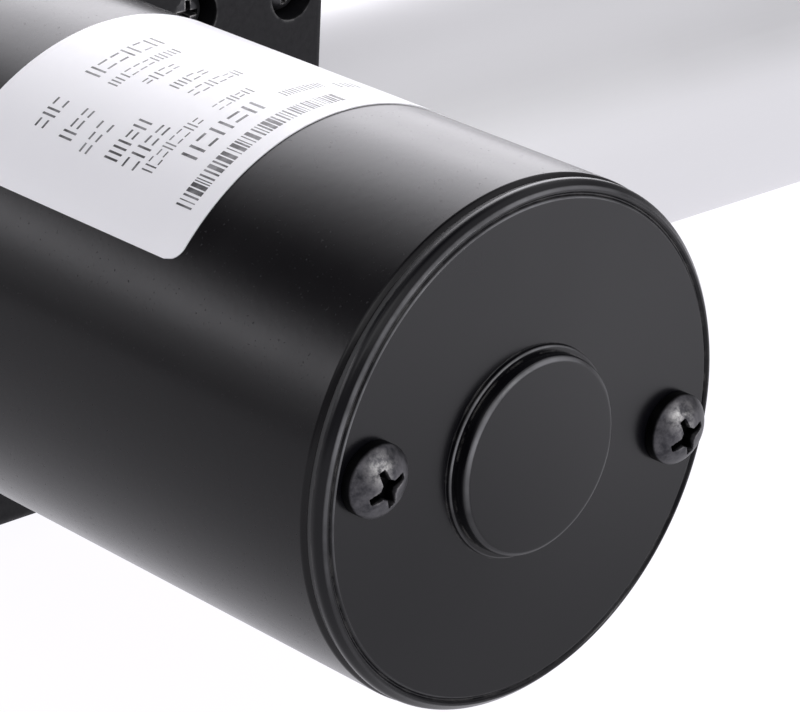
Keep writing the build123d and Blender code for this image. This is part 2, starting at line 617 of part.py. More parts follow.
def gland_step(start, end, radius, sides=0, mode=Mode.ADD):
    """A round or many-sided step of the gland, from start to end outward from the gear case"""
    with BuildSketch(across(CASE_X0 - end)) as step:
        with Locations((0, GLAND_Z)):
            if sides:
                RegularPolygon(radius, sides)
            else:
                Circle(radius)
    extrude(step.sketch, amount=end - start, mode=mode)


with BuildPart() as gland_body:
    gland_step(0, 5, 9, sides=6)
    gland_step(5, 10, GLAND_NECK)
    gland_step(-12, 0, GLAND_THREAD)
    gland_step(-12, 10, CABLE_RADIUS, mode=Mode.SUBTRACT)
save(gland_body.part, "gland_body")

with BuildPart() as gland_nut:
    gland_step(5, 11, 8.6, sides=6)
    gland_step(11, 16, 7)
    fillet(gland_nut.edges().group_by(Axis.X)[0], 2.4)
    gland_step(5, 10, GLAND_NECK, mode=Mode.SUBTRACT)
    gland_step(10, 16, CABLE_RADIUS, mode=Mode.SUBTRACT)
save(gland_nut.part, "gland_nut")

# ---------------------------------------------------------------- motor, still parts
BOSS_RADIUS, BOSS_HEIGHT = 11.3, 2.2
BOSS_COLLAR, BOSS_COLLAR_HEIGHT = 12.0, 0.6
RIM_RADIUS, RIM_BEVEL, RIM_SOFT = 29.8, 0.85, 0.35
RING_RADIUS, RING_WIDTH, RING_DEPTH = 28.35, 0.6, 0.3  # shallow ring in the face, inside the rim
GROOVE_START, GROOVE_RADIUS = 1.5, 29.0
CAN_BEVEL = 0.5
HUB_RADIUS, BUSH_RADIUS, BUSH_START, BUSH_END = 10.0, 6.5, 2.0, 11.0
SPIGOT_END = 9.0  # the cap's inner ring reaches this far into the can
BOLT_HEAD_RADIUS, BOLT_HEAD_HEIGHT, BOLT_RADIUS = 4.1, 3.0, 2.5
PLATE_START = MOTOR_LENGTH - 7.5
BRUSH_ANGLE = 90 - BOLT_TILT


def bolt_holes(depth, length, radius=BOLT_RADIUS + 0.2):
    """Cut the two motor bolts' holes, from depth behind the face towards it"""
    with BuildSketch(facing_back(depth)) as holes:
        with Locations(*MOTOR_BOLT_POINTS):
            Circle(radius)
    extrude(holes.sketch, amount=length, mode=Mode.SUBTRACT)


def front_rim(piece, radius):
    """The foremost round edge of this radius about the motor's axis"""
    return round_edges(piece, radius).sort_by(Axis.Y)[0]


with BuildPart() as motor_end_cap:
    add(on_motor(
        (-BOSS_HEIGHT, 0, 0, BOSS_RADIUS),
        (-BOSS_COLLAR_HEIGHT, 0, 0, BOSS_COLLAR),
        (0, GROOVE_START, 0, RIM_RADIUS),
        (GROOVE_START, CAN_START, 0, GROOVE_RADIUS),
        (CAN_START, SPIGOT_END, 24.5, CAN_BORE),
        (CAN_START, BUSH_END, 0, HUB_RADIUS),
    ))
    chamfer(front_rim(motor_end_cap, RIM_RADIUS), RIM_BEVEL)
    fillet(front_rim(motor_end_cap, RIM_RADIUS), RIM_SOFT)
    fillet(front_rim(motor_end_cap, BOSS_RADIUS), 0.5)
    fillet(front_rim(motor_end_cap, BOSS_COLLAR), 0.3)
    with BuildSketch(MOTOR_PROFILE):
        with BuildLine():
            ring_inner, ring_outer = RING_RADIUS - RING_WIDTH / 2, RING_RADIUS + RING_WIDTH / 2
            Polyline((0, ring_inner), (RING_DEPTH, RING_RADIUS), (0, ring_outer), close=True)
        make_face()
    revolve(axis=MOTOR_LINE, mode=Mode.SUBTRACT)
    add(on_motor((BUSH_START, BUSH_END, 0, BUSH_RADIUS)), mode=Mode.SUBTRACT)
    bolt_holes(SPIGOT_END, SPIGOT_END + 3)
save(motor_end_cap.part, "motor_end_cap")

save(on_motor((GROOVE_START, CAN_START, GROOVE_RADIUS, GROOVE_RADIUS + 0.55)), "end_cap_gasket")
save(on_motor((BUSH_START, BUSH_END, SHAFT_END + RUNNING, BUSH_RADIUS)), "rear_bush")
with BuildPart() as motor_can:
    add(on_motor((CAN_START, MOTOR_LENGTH, CAN_BORE, MOTOR_RADIUS)))
    chamfer(front_rim(motor_can, MOTOR_RADIUS), CAN_BEVEL)
save(motor_can.part, "motor_can")

bolt_length = MOTOR_LENGTH + MOTOR_BOLT_DEPTH - 1
motor_bolt = pan_head_screw(BOLT_HEAD_RADIUS, BOLT_HEAD_HEIGHT, BOLT_RADIUS, bolt_length)
recess_line = (math.cos(0.4), 0, math.sin(0.4))
motor_bolt_seats = [
    Plane(origin=(WORM_X + x, FACE_Y, MOTOR_Z + z), x_dir=recess_line, z_dir=(0, -1, 0))
    for x, z in MOTOR_BOLT_POINTS
]
save(copies(motor_bolt, motor_bolt_seats), "motor_bolts")

with BuildPart() as motor_front_plate:
    add(on_motor((PLATE_START, MOTOR_LENGTH, 5, CAN_BORE)))
    add(on_motor((PLATE_START, PLATE_START + MOTOR_BEARING_WIDTH, 0, MOTOR_BEARING_RADIUS)), mode=Mode.SUBTRACT)
    bolt_holes(MOTOR_LENGTH, MOTOR_LENGTH - PLATE_START)
save(motor_front_plate.part, "motor_front_plate")

MAGNET_SPAN, MAGNET_GAP = 124.0, 0.6
MAGNET_START, MAGNET_END = 30.0, 86.0
with BuildPart() as magnets:
    for middle in (BRUSH_ANGLE, BRUSH_ANGLE + 180):
        with BuildSketch(facing_back(MAGNET_END)):
            with BuildLine():
                outer_arc = CenterArc((0, 0), CAN_BORE, middle - MAGNET_SPAN / 2, MAGNET_SPAN)
                inner_radius = ARMATURE_RADIUS + MAGNET_GAP
                inner_arc = CenterArc((0, 0), inner_radius, middle - MAGNET_SPAN / 2, MAGNET_SPAN)
                Line(outer_arc @ 0, inner_arc @ 0)
                Line(outer_arc @ 1, inner_arc @ 1)
            make_face()
        extrude(amount=MAGNET_END - MAGNET_START)
save(magnets.part, "magnets")

BRUSH_START, BRUSH_DEPTH, BRUSH_WIDTH = 15.5, 8.0, 6.0
BRUSH_PLATE_START, BRUSH_PLATE_END = 12.0, 14.5
COMMUTATOR_RADIUS = 11.0
BRUSH_OUTER = 19.5
BOX_OUTER, BOX_WALL, BOX_END = 26.5, 1.5, 25.0
BOX_INNER = BOX_OUTER - 1


def brush_side(depth, length, x0, x1, width, mode=Mode.ADD):
    """A radial bar on both sides of the commutator, from radius x0 to x1"""
    for side in (0, 180):
        with BuildSketch(facing_back(depth, BRUSH_ANGLE + side)) as bar:
            with Locations(((x0 + x1) / 2, 0)):
                Rectangle(x1 - x0, width)
        extrude(bar.sketch, amount=length, mode=mode)


with BuildPart() as brush_plate:
    add(on_motor((BRUSH_PLATE_START, BRUSH_PLATE_END, COMMUTATOR_RADIUS + 2, CAN_BORE)))
    box_length, box_width = BOX_END - BRUSH_PLATE_END + 0.5, BRUSH_WIDTH + 2 * BOX_WALL
    brush_side(BOX_END, box_length, COMMUTATOR_RADIUS + 1.5, BOX_OUTER, box_width)
    brush_side(BRUSH_START + BRUSH_DEPTH, BRUSH_DEPTH, 0, BOX_INNER, BRUSH_WIDTH, mode=Mode.SUBTRACT)
    bolt_holes(BRUSH_PLATE_END, BRUSH_PLATE_END - BRUSH_PLATE_START)
save(brush_plate.part, "brush_plate")

with BuildPart() as brushes:
    brush_side(BRUSH_START + BRUSH_DEPTH - 0.2, BRUSH_DEPTH - 0.4, 5, BRUSH_OUTER, BRUSH_WIDTH - 0.4)
    add(on_motor((BRUSH_PLATE_START, BOX_END, 0, COMMUTATOR_RADIUS + FREE)), mode=Mode.SUBTRACT)
save(brushes.part, "brushes")

SPRING_RADIUS, SPRING_WIRE, SPRING_TURNS, SPRING_SPARE = 2.2, 0.35, 4, 0.1
spring_inset = SPRING_WIRE + SPRING_SPARE  # from the brush, and from the box, to the wire's middle
spring_room = BOX_INNER - BRUSH_OUTER - 2 * spring_inset
with BuildPart() as brush_spring:
    with BuildLine() as coil:
        Helix(pitch=spring_room / SPRING_TURNS, height=spring_room, radius=SPRING_RADIUS)
    with BuildSketch(Plane(origin=coil.line @ 0, z_dir=coil.line % 0)):
        Circle(SPRING_WIRE)
    sweep(path=coil.line, is_frenet=True)
brush_backs = [facing_back(BRUSH_START + BRUSH_DEPTH / 2, BRUSH_ANGLE + side) for side in (0, 180)]
spring_seats = [
    Plane(origin=back.origin + back.x_dir * (BRUSH_OUTER + spring_inset), x_dir=back.z_dir, z_dir=back.x_dir)
    for back in brush_backs
]
save(copies(brush_spring.part, spring_seats), "brush_springs")

# ---------------------------------------------------------------- motor, turning parts
COMMUTATOR_START, COMMUTATOR_END = 15.0, 27.0
STACK_START, STACK_END = 36.0, 80.0
END_TURN, END_TURN_INNER, END_TURN_OUTER = 7.0, 8.5, 17.8
SHAFT_RADIUS = 4.0
WORM_TURNS = 6

save(on_motor((BUSH_START + 0.5, BUSH_END + 2, 0, SHAFT_END), (BUSH_END + 2, PLATE_START, 0, SHAFT_RADIUS),
              (PLATE_START, SHAFT_LENGTH, 0, SHAFT_END)), "armature_shaft")
save(on_motor((COMMUTATOR_START, COMMUTATOR_END, SHAFT_RADIUS, 8)), "commutator_core")

with BuildPart() as commutator_bars:
    add(on_motor((COMMUTATOR_START, COMMUTATOR_END, 8, COMMUTATOR_RADIUS)))
    with BuildSketch(facing_back(COMMUTATOR_END + 1)):
        with PolarLocations(10, SLOTS):
            Rectangle(6, 0.6)
    extrude(amount=COMMUTATOR_END - COMMUTATOR_START + 2, mode=Mode.SUBTRACT)
save(commutator_bars.part, "commutator_bars")

with BuildPart() as laminations:
    add(on_motor((STACK_START, STACK_END, SHAFT_RADIUS, ARMATURE_RADIUS)))
    with BuildSketch(facing_back(STACK_END)):
        with PolarLocations(13.75, SLOTS):
            Rectangle(8.5, 3.4)
        with PolarLocations(19, SLOTS):
            Rectangle(4, 1.6)
    extrude(amount=STACK_END - STACK_START, mode=Mode.SUBTRACT)
save(laminations.part, "laminations")

with BuildPart() as windings:
    for start in (STACK_START - END_TURN, STACK_END):
        add(on_motor((start, start + END_TURN, END_TURN_INNER, END_TURN_OUTER)))
    fillet(round_edges(windings, END_TURN_OUTER), 1.8)
    with BuildSketch(facing_back(STACK_END + 1)):
        with PolarLocations(13.2, SLOTS):
            Rectangle(6.6, 3.0)
    extrude(amount=STACK_END - STACK_START + 2)
save(windings.part, "windings")

WORM_TIP, WORM_ROOT = WORM_PITCH_RADIUS + 1.2, WORM_PITCH_RADIUS - 1.5
worm_start = Plane(origin=(WORM_X, -WORM_TURNS / 2 * WORM_LEAD, MOTOR_Z), x_dir=(0, 0, -1), z_dir=(0, 1, 0))
crest_width = TOOTH_THICKNESS - 2 * (WORM_TIP - WORM_PITCH_RADIUS) * PRESSURE
flank_width = (WORM_TIP - WORM_ROOT) * PRESSURE
with BuildPart() as worm:
    add(thread_run(worm_start, WORM_ROOT, WORM_TIP, crest_width / WORM_LEAD, flank_width / WORM_LEAD,
                   WORM_LEAD, WORM_TURNS))
    add(on_motor((MOTOR_LENGTH, SHAFT_LENGTH, 0, SHAFT_END)), mode=Mode.SUBTRACT)
save(worm.part, "worm")

rings_in, rings_out, balls = bearings(
    MOTOR_PROFILE,
    MOTOR_LINE,
    (PLATE_START, WORM_CHAMBER_END),
    MOTOR_BEARING_WIDTH,
    SHAFT_END,
    MOTOR_BEARING_RADIUS,
    MOTOR_BALL_RADIUS,
)
save(rings_in, "motor_bearing_inner_rings")
save(rings_out, "motor_bearing_outer_rings")
save(balls, "motor_bearing_balls")

# ---------------------------------------------------------------- rating label round the can
LABEL_START, LABEL_END = 29.4, 68.2
LABEL_LOW, LABEL_HIGH = 143.5, 27.0  # angles round the motor, from +X towards +Z
LABEL_THICKNESS = 0.15
with BuildPart() as rating_label:
    with BuildSketch(facing_back(LABEL_END)):
        with BuildLine():
            outer_arc = CenterArc((0, 0), MOTOR_RADIUS + LABEL_THICKNESS, LABEL_HIGH, LABEL_LOW - LABEL_HIGH)
            inner_arc = CenterArc((0, 0), MOTOR_RADIUS, LABEL_HIGH, LABEL_LOW - LABEL_HIGH)
            Line(outer_arc @ 0, inner_arc @ 0)
            Line(outer_arc @ 1, inner_arc @ 1)
        make_face()
    extrude(amount=LABEL_END - LABEL_START)
    fillet(rating_label.edges().filter_by(lambda e: e.length < 0.2), 2)
save(rating_label.part, "rating_label")
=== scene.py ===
"""Looks of the right-angle linear actuator: round pieces, label, materials, studio and camera."""

import math
import random

import bmesh
import bpy
from mathutils import Matrix, Vector


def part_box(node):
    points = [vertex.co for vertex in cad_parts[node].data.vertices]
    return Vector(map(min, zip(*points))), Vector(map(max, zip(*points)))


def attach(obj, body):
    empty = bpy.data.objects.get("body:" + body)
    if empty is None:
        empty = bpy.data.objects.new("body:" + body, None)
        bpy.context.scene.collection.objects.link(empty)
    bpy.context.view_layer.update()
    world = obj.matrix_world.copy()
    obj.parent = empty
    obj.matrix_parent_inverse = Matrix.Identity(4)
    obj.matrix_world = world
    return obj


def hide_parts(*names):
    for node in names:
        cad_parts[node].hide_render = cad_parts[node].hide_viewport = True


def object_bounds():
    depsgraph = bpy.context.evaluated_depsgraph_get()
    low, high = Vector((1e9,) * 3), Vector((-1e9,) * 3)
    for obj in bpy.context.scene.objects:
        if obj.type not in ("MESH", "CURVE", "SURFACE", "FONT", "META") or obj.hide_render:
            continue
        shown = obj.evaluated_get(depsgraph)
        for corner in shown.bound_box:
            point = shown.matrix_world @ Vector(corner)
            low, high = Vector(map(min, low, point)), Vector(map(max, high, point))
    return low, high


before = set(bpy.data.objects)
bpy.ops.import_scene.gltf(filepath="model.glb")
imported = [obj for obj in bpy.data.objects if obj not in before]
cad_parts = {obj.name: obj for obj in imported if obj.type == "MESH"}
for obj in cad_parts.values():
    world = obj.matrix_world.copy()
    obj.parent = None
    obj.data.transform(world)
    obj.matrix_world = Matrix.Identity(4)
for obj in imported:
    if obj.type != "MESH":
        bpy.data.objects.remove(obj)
cad_low, cad_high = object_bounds()
MM = 0.001

# ---------------------------------------------------------------- places, from the CAD parts' bounds
can_low, can_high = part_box("motor_can")
label_low, label_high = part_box("rating_label")
tube_low, tube_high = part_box("outer_tube")
rod_low, rod_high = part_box("rod_tube")
bolts_low, bolts_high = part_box("motor_bolts")
CAN_RADIUS = (can_high.x - can_low.x) / 2
CAN_BACK = can_high.y
AXIS_X = (can_high.x + can_low.x) / 2
AXIS_Z = (can_high.z + can_low.z) / 2
CAN_START = 2.2 * MM  # the can begins this far behind the end cap's flat face
FACE_Y = can_low.y - CAN_START
TUBE_RADIUS = (tube_high.z - tube_low.z) / 2
ROD_RADIUS = (rod_high.z - rod_low.z) / 2
BOLT_CIRCLE = 23.25 * MM
BOLT_TILT = math.radians(8.5)
BOLT_ANGLES = (math.pi - BOLT_TILT, -BOLT_TILT)
HEAD_HEIGHT = 2.9 * MM
BOLT_CENTRES = [Vector((AXIS_X + BOLT_CIRCLE * math.cos(angle), FACE_Y - HEAD_HEIGHT,
                        AXIS_Z + BOLT_CIRCLE * math.sin(angle))) for angle in BOLT_ANGLES]


# ---------------------------------------------------------------- mesh helpers
def round_motor(along, radius, angle):
    """A point along (back from the end cap's face) and around the motor"""
    return Vector((AXIS_X + radius * math.cos(angle), FACE_Y + along, AXIS_Z + radius * math.sin(angle)))


def round_screw(along, radius, angle):
    """A point along and around the lead screw"""
    return Vector((along, radius * math.cos(angle), radius * math.sin(angle)))


def softened(outline, steps=7):
    """The outline with its corners rounded: each of its points is (along, radius, corner radius)"""
    points = []
    count = len(outline)
    for i, (along, radius, corner) in enumerate(outline):
        here = Vector((along, radius))
        if corner == 0:
            points.append(here)
            continue
        before = Vector(outline[i - 1][:2])
        after = Vector(outline[(i + 1) % count][:2])
        start = here + (before - here).normalized() * corner
        end = here + (after - here).normalized() * corner
        for step in range(steps + 1):
            share = step / steps
            points.append(start * (1 - share) ** 2 + here * 2 * share * (1 - share) + end * share ** 2)
    return points


def finish_piece(name, mesh, material, body, replaced):
    """A new piece from a bmesh: smooth but for its real edges, riding on a body in place of CAD nodes"""
    bmesh.ops.recalc_face_normals(mesh, faces=mesh.faces)
    data = bpy.data.meshes.new(name)
    mesh.to_mesh(data)
    mesh.free()
    data.shade_smooth()
    data.set_sharp_from_angle(angle=math.radians(28))
    data.materials.append(material)
    piece = bpy.data.objects.new(name, data)
    bpy.context.scene.collection.objects.link(piece)
    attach(piece, body)
    if replaced:
        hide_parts(*replaced)
    return piece


def lathe(mesh, outline, place, segments=384):
    """Turns a closed outline of (along, radius) points about the line that place goes around"""
    rings = []
    for along, radius in outline:
        if radius < 1e-7:
            rings.append([mesh.verts.new(place(along, 0, 0))])
        else:
            angles = [2 * math.pi * k / segments for k in range(segments)]
            rings.append([mesh.verts.new(place(along, radius, angle)) for angle in angles])
    for ring, following in zip(rings, rings[1:] + rings[:1]):
        for k in range(segments):
            corners = [ring[k % len(ring)], ring[(k + 1) % len(ring)],
                       following[(k + 1) % len(following)], following[k % len(following)]]
            corners = list(dict.fromkeys(corners))
            if len(corners) > 2:
                mesh.faces.new(corners)


def millimetres(*outline):
    """An outline given in mm as (along, radius) or (along, radius, corner radius)"""
    return [tuple(value * MM for value in (*point, 0)[:3]) for point in outline]


# ---------------------------------------------------------------- node helpers
class Shader:
    """A material's node tree, with short calls for the nodes that every material here uses"""

    def __init__(self, name, colour, metallic=0.0, roughness=0.5):
        self.material = bpy.data.materials.new(name)
        self.material.use_nodes = True
        self.tree = self.material.node_tree
        self.principled = self.tree.nodes["Principled BSDF"]
        self.principled.inputs["Base Color"].default_value = (*colour, 1)
        self.principled.inputs["Metallic"].default_value = metallic
        self.principled.inputs["Roughness"].default_value = roughness
        self.place = self.node("ShaderNodeTexCoord").outputs["Object"]

    def node(self, kind, inputs=None, **settings):
        made = self.tree.nodes.new(kind)
        for name, value in settings.items():
            setattr(made, name, value)
        for name, value in (inputs or {}).items():
            if isinstance(value, bpy.types.NodeSocket):
                self.tree.links.new(value, made.inputs[name])
            else:
                made.inputs[name].default_value = value
        return made

    def link(self, output, name):
        self.tree.links.new(output, self.principled.inputs[name])

    def stretched(self, scale):
        return self.node("ShaderNodeMapping", {"Vector": self.place, "Scale": scale}).outputs["Vector"]

    def noise(self, scale, detail=3.0, rough=0.5, place=None, distortion=0.0):
        inputs = {"Vector": place or self.place, "Scale": scale, "Detail": detail, "Roughness": rough,
                  "Distortion": distortion}
        return self.node("ShaderNodeTexNoise", inputs).outputs["Fac"]

    def ramp(self, value, low, high, out_low=0.0, out_high=1.0):
        inputs = {"Value": value, "From Min": low, "From Max": high, "To Min": out_low, "To Max": out_high}
        return self.node("ShaderNodeMapRange", inputs).outputs["Result"]

    def maths(self, operation, a, b=0.0):
        return self.node("ShaderNodeMath", {0: a, 1: b}, operation=operation).outputs[0]

    def mix(self, share, a, b):
        made = self.node("ShaderNodeMix", data_type="RGBA")
        for index, value in ((0, share), (6, a), (7, b)):
            if isinstance(value, bpy.types.NodeSocket):
                self.tree.links.new(value, made.inputs[index])
            else:
                made.inputs[index].default_value = value if index == 0 else (*value, 1)
        return made.outputs[2]

    def edges(self, radius, low=0.03, high=0.25):
        """1 along sharp edges, 0 on flat faces"""
        soft = self.node("ShaderNodeBevel", {"Radius": radius}, samples=6).outputs["Normal"]
        true = self.node("ShaderNodeNewGeometry").outputs["Normal"]
        dot = self.vector_maths("DOT_PRODUCT", soft, true, "Value")
        return self.ramp(self.maths("SUBTRACT", 1.0, dot), low, high)

    def bump(self, height, strength, distance):
        inputs = {"Height": height, "Strength": strength, "Distance": distance}
        return self.node("ShaderNodeBump", inputs).outputs["Normal"]

    def vector_maths(self, operation, a, b, output="Vector"):
        return self.node("ShaderNodeVectorMath", {0: a, 1: b}, operation=operation).outputs[output]

    def from_axis(self, x, z):
        """Distance from a line along Y through x and z"""
        flat = self.vector_maths("MULTIPLY", self.place, (1, 0, 1))
        return self.vector_maths("DISTANCE", flat, (x, 0, z), "Value")

    def over_face(self):
        """Height over the end cap's flat face"""
        return self.maths("SUBTRACT", FACE_Y, self.node("ShaderNodeSeparateXYZ", {0: self.place}).outputs["Y"])


def apply(material, *nodes):
    """Gives CAD nodes a material"""
    for name in nodes:
        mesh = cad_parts[name].data
        mesh.materials.clear()
        mesh.materials.append(material)


# ---------------------------------------------------------------- materials
def black_paint():
    """Semi-gloss black enamel with fine orange peel, faint smears and rubbed edges"""
    s = Shader("black_enamel", (0.006, 0.0055, 0.0065), roughness=0.3)
    s.principled.inputs["Specular IOR Level"].default_value = 0.2
    broad = s.noise(14, 4)
    fine = s.noise(900, 2)
    specks = s.ramp(s.noise(2600, 1), 0.70, 0.78)
    worn = s.maths("MULTIPLY", s.edges(0.0006), s.ramp(s.noise(300, 4, 0.6), 0.48, 0.62))
    colour = s.mix(broad, (0.0013, 0.0011, 0.0016), (0.0024, 0.0020, 0.0028))
    colour = s.mix(s.maths("MULTIPLY", specks, 0.3), colour, (0.012, 0.012, 0.014))
    s.link(s.mix(s.maths("MULTIPLY", worn, 0.7), colour, (0.16, 0.155, 0.15)), "Base Color")
    rough = s.ramp(s.noise(45, 5, 0.6), 0.35, 0.7, 0.20, 0.26)
    s.link(s.maths("ADD", rough, s.maths("MULTIPLY", specks, 0.2)), "Roughness")
    s.link(s.bump(fine, 0.10, 0.00006), "Normal")
    return s.material


# the end cap's painted edge highlights: radius and half width in mm, least height over the flat face, and how
# strong
EDGE_HIGHLIGHT_LINES = (
    (10.95, 0.30, 1.8, 1.0),
    (11.85, 0.13, 0.3, 1.0),
    (28.02, 0.14, -0.2, 0.8),
    (29.05, 0.22, -0.6, 0.8),
)
HIGHLIGHT_SIDE = Vector((-0.6, 0, 0.8))  # the painted highlights are brightest on the upper left, where the light falls


def cap_paint():
    """Matt black powder coat of the end cap: finer grain, softer shine, rubbed edges, and painted highlights
    along its round edges
    """
    s = Shader("cap_powder_coat_and_highlights", (0.008, 0.008, 0.009), roughness=0.36)
    s.principled.inputs["Specular IOR Level"].default_value = 0.2
    grain = s.noise(3200, 2)
    broad = s.noise(35, 5, 0.6)
    worn = s.maths("MULTIPLY", s.edges(0.0005), s.ramp(s.noise(420, 4, 0.6), 0.45, 0.6))
    colour = s.mix(broad, (0.0016, 0.0016, 0.0024), (0.0026, 0.0025, 0.0036))
    colour = s.mix(s.maths("MULTIPLY", worn, 0.6), colour, (0.14, 0.135, 0.13))
    radius = s.from_axis(AXIS_X, AXIS_Z)
    height = s.over_face()
    towards = s.vector_maths("DOT_PRODUCT", s.place, HIGHLIGHT_SIDE, "Value")
    middle = HIGHLIGHT_SIDE.dot(Vector((AXIS_X, 0, AXIS_Z)))
    side = s.maths("DIVIDE", s.maths("SUBTRACT", towards, middle), radius)
    patches = s.ramp(s.noise(90, 4, 0.6), 0.38, 0.60, 0.4, 1.0)
    painted_highlight_share = s.maths("MULTIPLY", patches, s.ramp(side, 0.3, 0.95, 0.10, 1.0))
    # painted highlights: light mottled lines along the boss, collar and rim edges, brightest on the upper left
    for edge, half_width, lowest, share in EDGE_HIGHLIGHT_LINES:
        off = s.maths("ABSOLUTE", s.maths("SUBTRACT", radius, edge * MM))
        line = s.ramp(off, half_width * MM, half_width * 0.4 * MM)
        line = s.maths("MULTIPLY", line, s.maths("GREATER_THAN", height, lowest * MM))
        line = s.maths("MULTIPLY", s.maths("MULTIPLY", line, painted_highlight_share), share)
        colour = s.mix(line, colour, (0.24, 0.24, 0.25))
    s.link(colour, "Base Color")
    s.link(s.ramp(broad, 0.3, 0.7, 0.23, 0.29), "Roughness")
    s.link(s.bump(grain, 0.10, 0.00004), "Normal")
    return s.material


def cast_black():
    """Painted die casting: pebbled skin, small pits and chipped edges"""
    s = Shader("cast_black", (0.005, 0.005, 0.006), roughness=0.6)
    s.principled.inputs["Specular IOR Level"].default_value = 0.2
    pebbles = s.noise(1100, 3, 0.55)
    lumps = s.noise(160, 3)
    cells = s.node("ShaderNodeTexVoronoi", {"Vector": s.place, "Scale": 420.0}).outputs["Distance"]
    pits = s.ramp(cells, 0.0, 0.22)
    worn = s.maths("MULTIPLY", s.edges(0.0009), s.ramp(s.noise(260, 4, 0.65), 0.46, 0.62))
    colour = s.mix(lumps, (0.0035, 0.0035, 0.0045), (0.0065, 0.0065, 0.0080))
    s.link(s.mix(s.maths("MULTIPLY", worn, 0.6), colour, (0.20, 0.20, 0.20)), "Base Color")
    s.link(s.ramp(pebbles, 0.3, 0.7, 0.50, 0.66), "Roughness")
    height = s.maths("ADD", pebbles, s.maths("MULTIPLY", pits, 0.3))
    s.link(s.bump(height, 0.35, 0.00012), "Normal")
    return s.material


def black_oxide():
    """Blackened screw steel, bright where a driver has rubbed it"""
    s = Shader("black_oxide", (0.02, 0.02, 0.022), metallic=0.6, roughness=0.35)
    blotch = s.noise(700, 4, 0.6)
    worn = s.maths("MULTIPLY", s.edges(0.0005, 0.02, 0.2), s.ramp(s.noise(900, 3, 0.6), 0.45, 0.58))
    colour = s.mix(blotch, (0.016, 0.016, 0.018), (0.05, 0.05, 0.053))
    s.link(s.mix(worn, colour, (0.42, 0.41, 0.40)), "Base Color")
    s.link(s.ramp(blotch, 0.3, 0.7, 0.30, 0.48), "Roughness")
    s.link(s.bump(s.noise(2400, 2), 0.18, 0.00005), "Normal")
    return s.material


RUBBED_AND_HIGHLIGHT_SPOT = Vector((-0.9, 0, 2.2)) * MM  # from the top of a bolt's head to a rubbed spot on its upper left, which is also a painted highlight


def worn_screw_and_painted_light():
    """Screw steel with thin patchy blacking: rubbed bright above the driver's recess, partly as a painted
    highlight; black in the recess, and a painted shade on the side wall
    """
    s = Shader("worn_screw_and_painted_light", (0.08, 0.08, 0.085), metallic=0.85, roughness=0.42)
    blotch = s.noise(900, 4, 0.65)
    patches = s.ramp(s.noise(620, 5, 0.7), 0.40, 0.62)
    nearest = off_axis = None
    for centre in BOLT_CENTRES:
        above = centre + RUBBED_AND_HIGHLIGHT_SPOT
        distance = s.vector_maths("DISTANCE", s.place, above, "Value")
        nearest = distance if nearest is None else s.maths("MINIMUM", nearest, distance)
        away = s.from_axis(centre.x, centre.z)
        off_axis = away if off_axis is None else s.maths("MINIMUM", off_axis, away)
    # bright patch above the recess: partly rubbed wear, partly a painted highlight where light falls on the
    # upper side of the dome
    rubbed = s.maths("MULTIPLY", s.ramp(nearest, 2.5 * MM, 0.7 * MM), patches)
    edge = s.maths("MULTIPLY", s.edges(0.0007, 0.01, 0.2), s.ramp(patches, 0.3, 1.0, 0.0, 0.3))
    colour = s.mix(s.ramp(blotch, 0.35, 0.65), (0.026, 0.026, 0.030), (0.082, 0.080, 0.086))
    colour = s.mix(s.maths("MAXIMUM", s.maths("MULTIPLY", rubbed, 0.6), edge), colour, (0.50, 0.49, 0.48))
    height = s.over_face()
    in_recess = s.maths("MULTIPLY", s.ramp(off_axis, 2.6 * MM, 2.5 * MM), s.ramp(height, 2.42 * MM, 2.2 * MM))
    # the head's side wall is painted near black: a painted shade of the gap around the head; the recess keeps
    # its blacking
    painted_wall_shade = s.ramp(height, 1.35 * MM, 1.0 * MM)
    colour = s.mix(s.maths("MAXIMUM", in_recess, painted_wall_shade), colour, (0.0015, 0.0015, 0.002))
    s.link(colour, "Base Color")
    s.link(s.ramp(blotch, 0.3, 0.7, 0.36, 0.52), "Roughness")
    s.link(s.bump(s.maths("ADD", blotch, s.noise(2600, 2)), 0.30, 0.00006), "Normal")
    return s.material


def drawn_aluminium(name, colour, roughness, line_strength, metallic):
    """Aluminium with fine draw lines along its length, and a soft haze of roughness"""
    s = Shader(name, colour, metallic=metallic, roughness=roughness)
    lines = s.noise(1.0, 4, 0.6, s.stretched((6, 2400, 2400)))
    haze = s.noise(18, 4, 0.6)
    dark = tuple(c * 0.93 for c in colour)
    s.link(s.mix(s.maths("MULTIPLY", s.maths("ADD", lines, haze), 0.5), dark, colour), "Base Color")
    s.link(s.ramp(s.maths("ADD", haze, s.maths("MULTIPLY", lines, 0.6)), 0.5, 1.1, roughness - 0.05,
                  roughness + 0.06), "Roughness")
    s.link(s.bump(lines, line_strength, 0.00003), "Normal")
    return s.material


def machined(name, colour, roughness=0.32, metallic=1.0):
    """Machined metal: turning marks, small scratches and slightly dulled patches"""
    s = Shader(name, colour, metallic=metallic, roughness=roughness)
    marks = s.noise(1.0, 3, 0.6, s.stretched((2200, 900, 900)))
    blotch = s.noise(120, 4, 0.6)
    dark = tuple(c * 0.78 for c in colour)
    s.link(s.mix(blotch, dark, colour), "Base Color")
    s.link(s.ramp(blotch, 0.3, 0.7, roughness - 0.06, roughness + 0.1), "Roughness")
    s.link(s.bump(marks, 0.12, 0.00004), "Normal")
    return s.material


def moulded(name, colour, roughness=0.5):
    """Moulded plastic or rubber with a fine spark-eroded grain"""
    s = Shader(name, colour, roughness=roughness)
    grain = s.noise(2600, 2)
    broad = s.noise(60, 4)
    dark = tuple(c * 0.8 for c in colour)
    s.link(s.mix(broad, dark, colour), "Base Color")
    s.link(s.ramp(broad, 0.3, 0.7, roughness - 0.06, roughness + 0.08), "Roughness")
    s.link(s.bump(grain, 0.15, 0.00005), "Normal")
    return s.material


